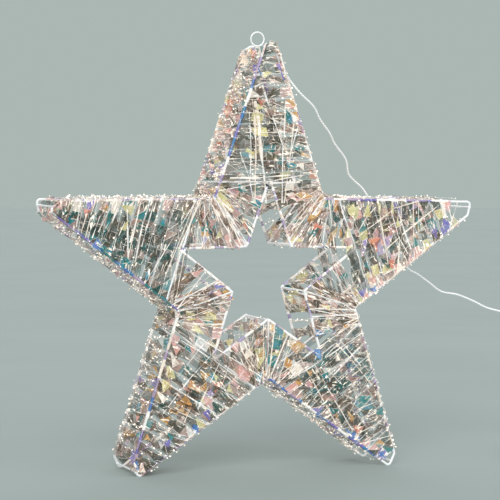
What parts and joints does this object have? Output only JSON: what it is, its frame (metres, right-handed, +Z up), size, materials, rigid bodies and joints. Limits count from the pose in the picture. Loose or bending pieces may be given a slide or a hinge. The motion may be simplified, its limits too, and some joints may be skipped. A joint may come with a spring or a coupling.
{
  "type": "led christmas star",
  "caption": "Standing or hanging star of welded silver rod, open in the middle, wound with clear shimmering film and lamp wire, with its lead and plug-in adapter.",
  "frame": {"origin": "on the surface that the star stands on, under the middle of the frame", "axes": "+Z up towards the star's top tip, -Y out of its front face, +X to the right seen from the front"},
  "size_m": [0.7268, 0.1519, 0.5532],
  "materials": {
    "silver_rod": "bright",
    "clear_film": "clear, shimmers in blue, pink and gold",
    "lamp_wire": "satin",
    "clear_cord": "clear",
    "white_plastic": "matte",
    "pin_metal": "bright"
  },
  "bodies": {
    "root": {"front_outline": "silver_rod", "back_outline": "silver_rod", "front_hole_outline": "silver_rod", "back_hole_outline": "silver_rod", "front_strut_top": "silver_rod", "front_strut_upper_left": "silver_rod", "front_strut_lower_left": "silver_rod", "front_strut_lower_right": "silver_rod", "front_strut_upper_right": "silver_rod", "front_spoke_top_left": "silver_rod", "front_spoke_left": "silver_rod", "front_spoke_bottom": "silver_rod", "front_spoke_right": "silver_rod", "front_spoke_top_right": "silver_rod", "back_strut_top": "silver_rod", "back_strut_upper_left": "silver_rod", "back_strut_lower_left": "silver_rod", "back_strut_lower_right": "silver_rod", "back_strut_upper_right": "silver_rod", "back_spoke_top_left": "silver_rod", "back_spoke_left": "silver_rod", "back_spoke_bottom": "silver_rod", "back_spoke_right": "silver_rod", "back_spoke_top_right": "silver_rod", "tip_spacer_top": "silver_rod", "tip_spacer_upper_left": "silver_rod", "tip_spacer_lower_left": "silver_rod", "tip_spacer_lower_right": "silver_rod", "tip_spacer_upper_right": "silver_rod", "notch_spacer_top_left": "silver_rod", "lobe_spacer_top_left": "silver_rod", "notch_spacer_left": "silver_rod", "lobe_spacer_left": "silver_rod", "notch_spacer_bottom": "silver_rod", "lobe_spacer_bottom": "silver_rod", "notch_spacer_right": "silver_rod", "lobe_spacer_right": "silver_rod", "notch_spacer_top_right": "silver_rod", "lobe_spacer_top_right": "silver_rod", "hanging_ring": "silver_rod", "film_top": "clear_film", "lamp_wire_top": "lamp_wire", "film_upper_left": "clear_film", "lamp_wire_upper_left": "lamp_wire", "film_lower_left": "clear_film", "lamp_wire_lower_left": "lamp_wire", "film_lower_right": "clear_film", "lamp_wire_lower_right": "lamp_wire", "film_upper_right": "clear_film", "lamp_wire_upper_right": "lamp_wire", "lead_joint_sleeve": "clear_cord", "lead_cord": "clear_cord", "lead_coil": "clear_cord", "coil_tie": "white_plastic", "lead_relief": "white_plastic", "adapter_cover": "white_plastic", "adapter_base": "white_plastic", "pin_left": "pin_metal", "pin_right": "pin_metal"}
  },
  "joints": []
}
